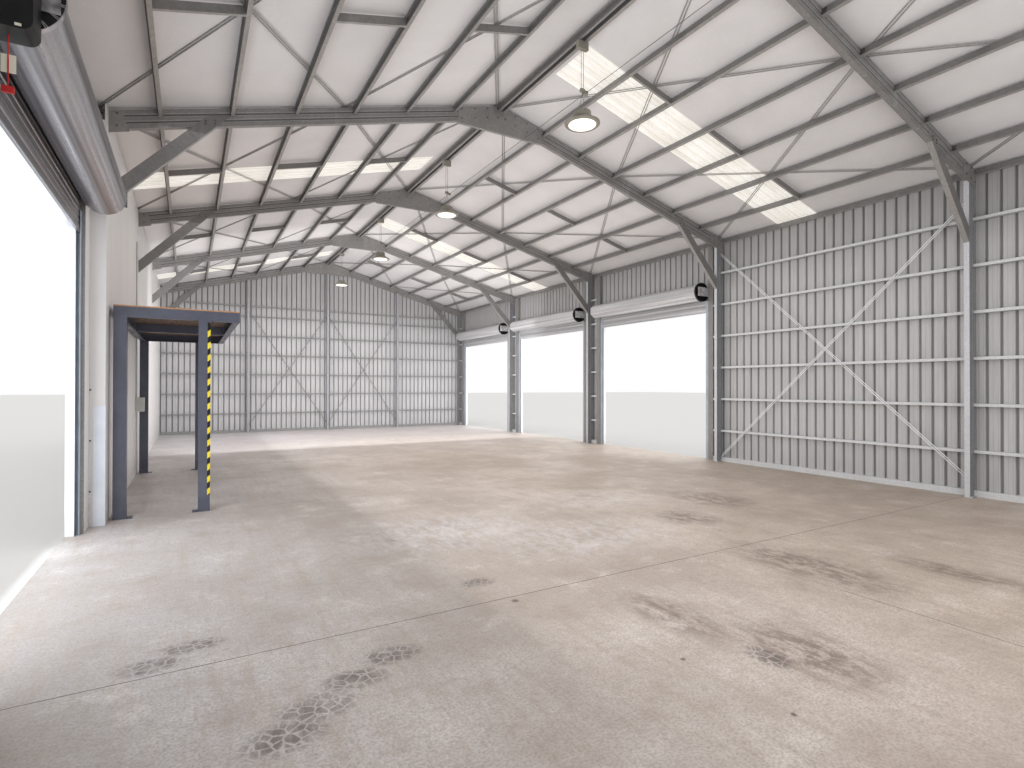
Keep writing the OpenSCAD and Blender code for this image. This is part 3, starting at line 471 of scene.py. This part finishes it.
# Ribbed sheets: the axis across their ribs, their light and dark colours, and where the
# pans of a wall's sheets stand
SHEETS = {
    "wall_sheet_long": ("y", (206, 205, 205), (188, 187, 187), STEEL_X),
    "wall_sheet_end": ("x", (206, 205, 207), (188, 187, 189), END_Y),
    "roof_sheet": ("y", (196, 199, 201), (170, 174, 177), None),
}

# How metallic the doors' curtains are, and the light and dark colours of their painted reflection
# bands
CURTAINS = {
    "roller_curtain": (0.7, (196, 195, 200), (119, 117, 121)),
    "pale_roller_curtain": (0.3, (226, 226, 228), (176, 175, 177)),
}

# Light and dark colours of the steels, and what else sets them apart; some are lit and shaded
# copies of one steel, painted highlight and shade
STEELS = {
    "frame_steel": ((164, 161, 159), (138, 136, 134), {}),
    "rafter_steel": ((158, 155, 153), (132, 130, 128), {"section": "rafter"}),
    # painted highlight and shade: the columns' and knee braces' steel lighter than the frames',
    # for the light on their flanges, and their webs darker
    "column_steel": ((228, 229, 233), (204, 205, 209), {"web": 0.62, "section": "column"}),
    "brace_steel": ((176, 173, 171), (150, 148, 146), {"web": 0.4}),
    "mullion_steel": ((190, 190, 194), (164, 164, 168), {}),
    "roof_steel": ((176, 173, 170), (150, 147, 144), {"sides": 0.36}),
    # lit and shaded copies of the girts' steel: the side walls' lighter, a painted highlight, the
    # end walls' darker, painted shade; both darker underneath, painted shade
    "wall_steel": ((226, 227, 228), (204, 205, 206), {"metallic": 0.15, "under": 0.8}),
    "gable_steel": ((168, 168, 168), (142, 142, 142), {"under": 0.8}),
    # lit and shaded copies of the rods' steel: the side wall's rods much lighter, a painted
    # highlight
    "brace_rod": ((186, 184, 182), (156, 154, 152), {}),
    "wall_rod": ((244, 245, 245), (232, 233, 234), {"metallic": 0.0}),
    "bolt_steel": ((118, 116, 114), (92, 90, 88), {"metallic": 0.5}),
}

# Light, dark and worn colours of the paints and plastics, their roughness and their seed
PAINTS = {
    "white_trim": ((236, 237, 238), (222, 223, 225), (190, 190, 188), 0.4, 0),
    "door_guide": ((178, 186, 195), (160, 168, 178), (140, 142, 146), 0.4, 3),
    "black_plastic": ((22, 22, 25), (15, 15, 17), (70, 70, 72), 0.45, 6),
    "charcoal_paint": ((85, 87, 100), (74, 76, 88), (148, 150, 154), 0.38, 9),
    "lamp_housing": ((150, 145, 134), (128, 123, 113), (176, 172, 166), 0.35, 12),
    "corner_steel": ((224, 228, 237), (212, 217, 226), (160, 162, 164), 0.4, 15),
    "grey_box": ((192, 192, 188), (178, 178, 174), (150, 150, 146), 0.45, 18),
    "yellow_tape": ((232, 210, 46), (214, 190, 38), (120, 104, 60), 0.35, 21),
    "black_tape": ((34, 33, 34), (26, 25, 26), (74, 72, 70), 0.35, 24),
    "red_cord": ((196, 40, 36), (168, 30, 28), (120, 40, 36), 0.6, 27),
    "pale_label": ((222, 216, 200), (206, 200, 184), (170, 164, 150), 0.5, 30),
}

# Nodes that wear each look; what isn't listed is frame steel
LOOK_NODES = {
    "concrete_floor": ["floor_slab"],
    "wall_sheet_long": ["cladding_left", "cladding_right"],
    "wall_sheet_end": ["gable_cladding_far", "gable_cladding_near"],
    "roof_sheet": ["roof_sheets_left", "roof_sheets_right", "ridge_capping"],
    "translucent_sheet": ["skylights"],
    "roof_blanket": ["roof_lining"],
    "lining_panel": ["wall_lining"],
    "white_trim": ["gutters", "downpipes", "barge_flashings", "corner_flashings",
                   "door_flashings"],
    "door_guide": ["door_guides"],
    "pale_roller_curtain": ["roller_doors"],
    "roller_curtain": ["side_roller_door"],
    "black_plastic": ["hoist_wheels", "door_opener"],
    "charcoal_paint": ["platform_posts", "platform_beams"],
    "plywood_deck": ["platform_deck"],
    "lamp_housing": ["pendant_lights"],
    "corner_steel": ["corner_guard"],
    "grey_box": ["switch_box"],
    "roof_steel": ["purlins_left", "purlins_right", "ridge_purlins", "eave_purlins",
                   "purlin_bridging"],
    "wall_steel": ["girts_left", "girts_right"],
    "gable_steel": ["gable_girts"],
    "brace_rod": ["roof_bracing"],
    "wall_rod": ["wall_bracing"],
    "column_steel": ["columns_left", "columns_right"],
    "rafter_steel": ["rafters_left", "rafters_right"],
    "mullion_steel": ["gable_mullions"],
    "brace_steel": ["knee_braces"],
}


def make_looks():
    """All materials, by the names that the tables above use. Blender may add a number to a
    name that the loaded model has too."""
    made = {
        "concrete_floor": concrete(),
        "translucent_sheet": skylight(),
        "roof_blanket": roof_lining(),
        "lining_panel": wall_panel(),
        "plywood_deck": plywood(),
        "lamp_lens": lamp_lens(),
    }
    for name, (across, light, dark, wall) in SHEETS.items():
        made[name] = ribbed_sheet(name, across, rgb(*light), rgb(*dark), wall)
    for name, (metallic, light, dark) in CURTAINS.items():
        made[name] = curtain(name, metallic, rgb(*light), rgb(*dark))
    for name, (light, dark, rest) in STEELS.items():
        made[name] = galvanised(name, rgb(*light), rgb(*dark), **rest)
    for name, (light, dark, wear, roughness, seed) in PAINTS.items():
        made[name] = painted(name, rgb(*light), rgb(*dark), rgb(*wear), roughness, seed)
    return made


def dress_nodes():
    """Gives each CAD node its material."""
    look_of = {node: look for look, nodes in LOOK_NODES.items() for node in nodes}
    for name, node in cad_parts.items():
        for slot in node.material_slots:
            slot.material = looks[look_of.get(name, "frame_steel")]


# How new pieces are built

def piece(name, mesh, look):
    """Makes an object of a bmesh, with its material, and lets it ride on the building."""
    data = bpy.data.meshes.new(name)
    mesh.to_mesh(data)
    mesh.free()
    item = bpy.data.objects.new(name, data)
    bpy.context.scene.collection.objects.link(item)
    data.materials.append(looks[look])
    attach(item, "root")
    return item


def add_box(mesh, corner, other):
    """Box between two opposite corners, and its own vertices."""
    start = len(mesh.verts)
    size = [abs(b - a) for a, b in zip(corner, other)]
    centre = [(a + b)/2 for a, b in zip(corner, other)]
    place = Matrix.Translation(centre) @ Matrix.Diagonal((*size, 1))
    bmesh.ops.create_cube(mesh, size=1, matrix=place)
    mesh.verts.ensure_lookup_table()
    return mesh.verts[start:]


def add_rod(mesh, start, end, radius, sides=8):
    """Straight rod of few sides between two points."""
    start, end = Vector(start), Vector(end)
    run = end - start
    turn = run.to_track_quat("Z", "Y").to_matrix().to_4x4()
    bmesh.ops.create_cone(mesh, cap_ends=True, segments=sides, radius1=radius, radius2=radius,
                          depth=run.length, matrix=Matrix.Translation((start + end)/2) @ turn)


def add_bolt(mesh, place, out, size=0.009):
    """Hexagon head on a washer, at a place on a face that looks along out."""
    washer, head = 0.003, 0.01
    place, out = Vector(place), Vector(out)
    add_rod(mesh, place, place + out*washer, size*1.5, 12)
    add_rod(mesh, place + out*washer, place + out*(washer + head), size, 6)


def add_lengths(mesh, start, end, radius=ROD_R, length=0.12, sides=8):
    """Round rod between two points, in short lengths and smooth."""
    start, end = Vector(start), Vector(end)
    run = end - start
    turn = run.to_track_quat("Z", "Y")
    ring = [turn @ Vector((radius*math.cos(a), radius*math.sin(a), 0))
            for a in (2*math.pi*k/sides for k in range(sides))]
    count = max(1, round(run.length/length))
    middles = [start + run*(n/count) for n in range(count + 1)]
    rings = [[mesh.verts.new(middle + spoke) for spoke in ring] for middle in middles]
    for low, high in zip(rings, rings[1:]):
        for k in range(sides):
            after = (k + 1) % sides
            face = mesh.faces.new((low[k], low[after], high[after], high[k]))
            face.smooth = True
    mesh.faces.new(rings[0][::-1])
    mesh.faces.new(rings[-1])


def twin_rods(mesh, start, end, apart):
    """Two rods side by side, each half of the vector apart from the line start to end."""
    for half in (-0.5, 0.5):
        shift = Vector(apart)*half
        add_lengths(mesh, Vector(start) + shift, Vector(end) + shift)


# Pieces that stand in for nodes

SLOPE_LENGTH = 0.5                 # lengths that the roof's sheets are cut into, along x


def cut_short(name, look):
    """Stands in for a node with the same surfaces, cut across x into short lengths. Long
    sloping faces slow the rays down, and short ones don't."""
    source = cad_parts[name]
    mesh = bmesh.new()
    mesh.from_mesh(source.data)
    mesh.transform(source.matrix_world)
    across = Vector((1, 0, 0))
    places = [v.co.x for v in mesh.verts]
    at = min(places) + SLOPE_LENGTH
    while at < max(places) - SLOPE_LENGTH/2:
        parts = mesh.verts[:] + mesh.edges[:] + mesh.faces[:]
        bmesh.ops.bisect_plane(mesh, geom=parts, plane_co=across*at, plane_no=across)
        at += SLOPE_LENGTH
    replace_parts(piece(name + "_lengths", mesh, look), name)


def roof_lengths():
    cut_short("roof_sheets_left", "roof_sheet")
    cut_short("roof_sheets_right", "roof_sheet")
    cut_short("skylights", "translucent_sheet")


# Crossed rods where the CAD nodes have them: x where the roof's rods meet the rafters, and
# the heights of the rods' two ends in the side wall, pair by pair, and in the end walls
ROOF_ROD_X = (0.06, PURLIN_X[2] + 0.14, STEEL_X - 0.13)
WALL_ROD_Z = ((SLAB + 0.22, EAVE_Z - 0.36), (EAVE_Z - 0.44, SLAB + 0.09))
END_ROD_Z = (EAVE_Z - 0.64, SLAB + 0.3)
ROD_STEP = 2*ROD_R + CLEAR         # from one pair of rods to the pair that crosses it


def on_slope(side, along, y, height):
    """A place along a roof slope from the ridge, and a height square to it."""
    x = along*math.cos(PITCH) + height*math.sin(PITCH)
    return (side*x, y, RIDGE_Z - along*math.sin(PITCH) + height*math.cos(PITCH))


def roof_rods():
    """Two crosses a bay on each slope."""
    roof = bmesh.new()
    joints = [x/math.cos(PITCH) for x in ROOF_ROD_X]
    pairs = ((0, 1, ROD_STEP), (1, 0, 0), (1, 2, ROD_STEP), (2, 1, 0))
    for side in (-1, 1):
        apart = Vector(on_slope(side, ROD_GAP, 0, 0)) - Vector(on_slope(side, 0, 0, 0))
        for y in FRAMES[:5]:
            for near, far, step in pairs:
                height = CLEAR + ROD_R + step
                twin_rods(roof, on_slope(side, joints[near], y + CLEAR, height),
                          on_slope(side, joints[far], y + BAY - CLEAR, height), apart)
    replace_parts(piece("roof_rods", roof, "brace_rod"), "roof_bracing")


def wall_rods():
    """One cross in the right wall's closed bay."""
    wall = bmesh.new()
    x = STEEL_X - PURLIN_D - ROD_R - CLEAR
    y0 = FRAMES[1] - FRAME_B/2 + FRAME_T + CLEAR
    y1 = FRAMES[2] - FRAME_B/2 - CLEAR
    for k, (z0, z1) in enumerate(WALL_ROD_Z):
        inward = x - k*ROD_STEP
        twin_rods(wall, (inward, y0, z0), (inward, y1, z1), (0, 0, ROD_GAP))
    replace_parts(piece("wall_rods", wall, "wall_rod"), "wall_bracing")


def gable_rods():
    """Two crosses in each end wall. They belong to the node of the side wall's rods, and
    wear another look."""
    ends = bmesh.new()
    x0 = FRAME_B/2 + CLEAR
    x1 = MULLION_PITCH - FRAME_B/2 - CLEAR
    y = END_Y - PURLIN_D - ROD_R - CLEAR
    high, low = END_ROD_Z
    for end in (-1, 1):
        for side in (-1, 1):
            for k, (z0, z1) in enumerate(((high, low), (low, high))):
                inward = end*(y - k*ROD_STEP)
                twin_rods(ends, (side*x0, inward, z0), (side*x1, inward, z1), (0, 0, ROD_GAP))
    piece("gable_rods", ends, "gable_steel")


# Small pieces of the frames

# Bolts of a joint's plate: places along x, and depths under the roof steel
APEX_BOLTS = ((0.08, 0.3, 0.56, 0.82), (0.045, 0.205))
KNEE_BOLTS = ((5.87, 6.03, 6.17), (0.045, 0.205))
BRACE_BOLTS = ((4.72, 4.84), (0.17, 0.215))


def roof_point(x, down=0.0):
    """Height of the roof steel at x, less a depth square to the slope."""
    return RIDGE_Z - abs(x)*math.tan(PITCH) - down/math.cos(PITCH)


def frame_bolts():
    """Bolts of the apex plates, knee plates and knee braces, on the sides of the webs."""
    mesh = bmesh.new()
    spots = [(x, down) for xs, depths in (APEX_BOLTS, KNEE_BOLTS, BRACE_BOLTS)
             for x in xs for down in depths]
    for i, frame_y in enumerate(FRAMES):
        out = 1 if i == 0 else -1
        face = frame_y + out*(FRAME_B/2 + PLATE)
        for side in (-1, 1):
            for x, down in spots:
                add_bolt(mesh, (side*x, face, roof_point(x, down)), (0, out, 0))
    piece("frame_bolts", mesh, "bolt_steel")


def purlin_cleats():
    """Angle cleats between the purlins and the webs of the rafters."""
    gap, thick = 0.001, 0.005
    length = 0.054
    top, bottom = -0.012, -0.09
    mesh = bmesh.new()
    for frame_y in FRAMES[1:]:
        web_y = frame_y - FRAME_B/2 - gap
        for side in (-1, 1):
            turn = Matrix.Translation((0, 0, RIDGE_Z)) @ Matrix.Rotation(side*PITCH, 4, "Y")
            for x in PURLIN_X:
                face = x/math.cos(PITCH) - gap
                cleat = add_box(mesh, (side*(face - thick), web_y - length, bottom),
                                (side*face, web_y, top))
                bmesh.ops.transform(mesh, matrix=turn, verts=cleat)
    piece("purlin_cleats", mesh, "bolt_steel")


# Fittings

def lamp_lenses():
    """Lens under each lamp: a shallow dome."""
    radius, flatness = 0.205, 0.1
    mesh = bmesh.new()
    flat = Matrix.Diagonal((1, 1, flatness, 1))
    for y in MIDDLES:
        bmesh.ops.create_uvsphere(mesh, u_segments=40, v_segments=12, radius=radius,
                                  matrix=Matrix.Translation((0, y, LAMP_Z)) @ flat)
    upper = [v for v in mesh.verts if v.co.z > LAMP_Z + 1e-4]
    bmesh.ops.delete(mesh, geom=upper, context="VERTS")
    piece("lamp_lenses", mesh, "lamp_lens")


def lamp_wire():
    """Supply wire strung from lamp to lamp."""
    x, z = 0.06, LAMP_Z + 0.49
    mesh = bmesh.new()
    add_rod(mesh, (x, MIDDLES[0], z), (x, MIDDLES[4], z), 0.004)
    piece("lamp_wire", mesh, "bolt_steel")


def hazard_tape():
    """Black and yellow slanted tape up the near right post's corner, in two layers."""
    x, y = -4.763, -2.44
    wide, thick, slant = 0.036, 0.0008, 0.03
    low, high, pitch, bar = 0.33, 2.82, 0.175, 0.085

    def strip(mesh, z0, z1, t, lean):
        """A length of tape round the corner, lower at its outer edges by lean."""
        corners = add_box(mesh, (x - wide, y - t, z0), (x + t, y, z1))
        corners += add_box(mesh, (x, y, z0), (x + t, y + wide, z1))
        for vertex in corners:
            away = max(x - vertex.co.x, vertex.co.y - y, 0)
            vertex.co.z -= lean*away/wide

    black = bmesh.new()
    strip(black, low, high, thick, 0)
    yellow = bmesh.new()
    for k in range(int((high - low)/pitch)):
        start = low + slant + k*pitch
        strip(yellow, start, start + bar, 2*thick, slant)
    piece("tape_black", black, "black_tape")
    piece("tape_yellow", yellow, "yellow_tape")


def opener_fittings():
    """Label on the opener's front, and its pull cord with a blank plate and a red grip."""
    front, under = -7.45, 3.91
    x, y = -5.928, -7.35                       # where the cord hangs
    cord_end, cord_r = 3.6, 0.0035
    labels = bmesh.new()
    add_box(labels, (-5.881, front - 0.002, under + 0.012),
            (-5.851, front + 0.001, under + 0.028))
    add_box(labels, (x - 0.034, y + 0.004, 3.691), (x + 0.034, y + 0.007, 3.796))
    cord = bmesh.new()
    add_rod(cord, (x, y, cord_end), (x, y, under + 0.001), cord_r)
    add_box(cord, (x - 0.028, y - 0.01, 3.574), (x + 0.028, y + 0.01, 3.61))
    piece("opener_label", labels, "pale_label")
    piece("opener_cord", cord, "red_cord")


def return_fittings():
    """Cover strip and bolts of the lining's return beside the left-hand door."""
    edge = bmesh.new()
    add_box(edge, (-6.1298, -3.075, SLAB), (-6.1278, -2.7305, 5.3))
    bolts = bmesh.new()
    for z in (0.55, 1.2, 1.85):
        add_bolt(bolts, (-6.115, -2.73, z), (0, -1, 0), 0.008)
    piece("lining_edge", edge, "lining_panel")
    piece("return_bolts", bolts, "bolt_steel")


def drum_spokes():
    """Spoked face of the left-hand drum's drive wheel: spokes just before a thin dark disc,
    each leaning an angle to one side or the other."""
    x, y, z = -5.944, -7.2355, SLAB + 4.16
    outer, inner, count = 0.258, 0.06, 18
    lean, spoke_r, forward = 0.2, 0.0028, 0.003
    face = bmesh.new()
    turn = Matrix.Translation((x, y, z)) @ Matrix.Rotation(math.pi/2, 4, "X")
    bmesh.ops.create_cone(face, cap_ends=True, segments=64, radius1=outer, radius2=outer,
                          depth=0.001, matrix=turn)

    def on_wheel(radius, angle):
        return (x + radius*math.cos(angle), y - forward, z + radius*math.sin(angle))

    spokes = bmesh.new()
    for k in range(count):
        angle = 2*math.pi*k/count
        for side in (-1, 1):
            end = on_wheel(outer, angle + side*lean)
            add_rod(spokes, on_wheel(inner, angle), end, spoke_r, 6)
    piece("drive_wheel_face", face, "black_plastic")
    piece("drive_wheel_spokes", spokes, "mullion_steel")


# Stage, light and camera

def stage():
    """Wide pale ground around the building."""
    half = 150
    corners = [(-half, -half, 0), (half, -half, 0), (half, half, 0), (-half, half, 0)]
    ground = bpy.data.meshes.new("ground")
    ground.from_pydata(corners, [], [(0, 1, 2, 3)])
    item = bpy.data.objects.new("ground", ground)
    bpy.context.scene.collection.objects.link(item)
    look = Look("ground", 0.0, 0.8)
    ground.materials.append(look.done(rgb(232, 231, 229)))


def sky():
    """White sky, a little dimmer as light than as seen, reflected or seen through."""
    world = bpy.data.worlds.new("studio")
    bpy.context.scene.world = world
    world.use_nodes = True
    tree = world.node_tree
    back = tree.nodes["Background"]
    back.inputs["Color"].default_value = (1, 1, 1, 1)
    path = tree.nodes.new("ShaderNodeLightPath")
    seen = path.outputs["Is Camera Ray"]
    for name in ("Is Glossy Ray", "Is Transmission Ray"):
        either = tree.nodes.new("ShaderNodeMath")
        either.operation = "MAXIMUM"
        tree.links.new(seen, either.inputs[0])
        tree.links.new(path.outputs[name], either.inputs[1])
        seen = either.outputs[0]
    level = tree.nodes.new("ShaderNodeMapRange")
    level.inputs["To Min"].default_value = 0.75
    level.inputs["To Max"].default_value = 1.0
    tree.links.new(seen, level.inputs["Value"])
    tree.links.new(level.outputs[0], back.inputs["Strength"])


def sun_light():
    data = bpy.data.lights.new("sun", "SUN")
    data.energy = 0.8
    data.angle = math.radians(40)
    item = bpy.data.objects.new("sun", data)
    item.rotation_euler = Vector((0.35, 1.0, -1.1)).to_track_quat("-Z", "Y").to_euler()
    bpy.context.scene.collection.objects.link(item)


def area_light(name, place, size, power, turn=(0, 0, 0), colour=(1, 1, 1)):
    """Rectangle of light that looks down unless turned, unseen itself."""
    data = bpy.data.lights.new(name, "AREA")
    data.shape = "RECTANGLE"
    data.size, data.size_y = size
    data.energy = power
    data.color = colour
    item = bpy.data.objects.new(name, data)
    item.location = place
    item.rotation_euler = turn
    item.visible_camera = False
    item.visible_glossy = False
    bpy.context.scene.collection.objects.link(item)


def lights():
    """Sky and sun, light from the doorways, and what the hall's surfaces pass on."""
    up = (math.pi, 0, 0)
    down_the_hall = (math.pi/2, 0, 0)
    to_right = (0, -math.pi/2, 0)
    to_left = (0, math.pi/2, 0)
    sky_blue = (0.84, 0.92, 1.0)
    sky()
    sun_light()
    area_light("down_light", (-0.6, 1.5, 5.5), (9.6, 20), 440)
    area_light("up_light", (0, 3, 0.3), (11, 18), 235, up)
    area_light("near_light", (0, -12.2, 2.7), (11, 4.6), 320, down_the_hall)
    area_light("cross_light", (-3.0, 1, 2.7), (4.6, 20), 240, to_right)
    area_light("far_light", (0, 5.2, 2.7), (11, 4.6), 295, down_the_hall)
    area_light("left_door_light", (-6.5, -5.2, 2.0), (3.6, 3.8), 115, to_right, sky_blue)
    area_light("right_door_light", (6.5, 5.0, 2.0), (3.6, 14), 210, to_left)


# The photo's camera, solved from vanishing points: its place, its yaw, pitch and roll in
# degrees, and its focal length and width in pixels
CAMERA_PLACE = (-5.0264, -11.5202, 1.8929)
CAMERA_TURN = (30.375, 0.318, 0.077)
FOCAL_PIXELS = 550.68
PHOTO_PIXELS = 1024
SENSOR = 36


def camera():
    yaw, pitch, roll = (math.radians(a) for a in CAMERA_TURN)
    ahead = Vector((math.sin(yaw)*math.cos(pitch), math.cos(yaw)*math.cos(pitch),
                    math.sin(pitch)))
    level = Vector((math.cos(yaw), -math.sin(yaw), 0))
    rise = level.cross(ahead)
    right = level*math.cos(roll) + rise*math.sin(roll)
    up = rise*math.cos(roll) - level*math.sin(roll)
    data = bpy.data.cameras.new("camera")
    data.sensor_width = SENSOR
    data.lens = FOCAL_PIXELS/PHOTO_PIXELS*SENSOR
    data.clip_start = 0.05
    data.clip_end = 500
    item = bpy.data.objects.new("camera", data)
    turn = Matrix((right, up, -ahead)).transposed()
    item.matrix_world = Matrix.Translation(CAMERA_PLACE) @ turn.to_4x4()
    bpy.context.scene.collection.objects.link(item)
    bpy.context.scene.camera = item


bpy.context.scene.view_settings.view_transform = "Standard"
bpy.context.scene.cycles.max_bounces = 3
bpy.context.scene.cycles.diffuse_bounces = 2
bpy.context.scene.cycles.glossy_bounces = 2
bpy.context.scene.cycles.transmission_bounces = 3
looks = make_looks()
dress_nodes()
roof_lengths()
roof_rods()
wall_rods()
gable_rods()
frame_bolts()
purlin_cleats()
lamp_lenses()
lamp_wire()
hazard_tape()
opener_fittings()
return_fittings()
drum_spokes()
stage()
lights()
camera()
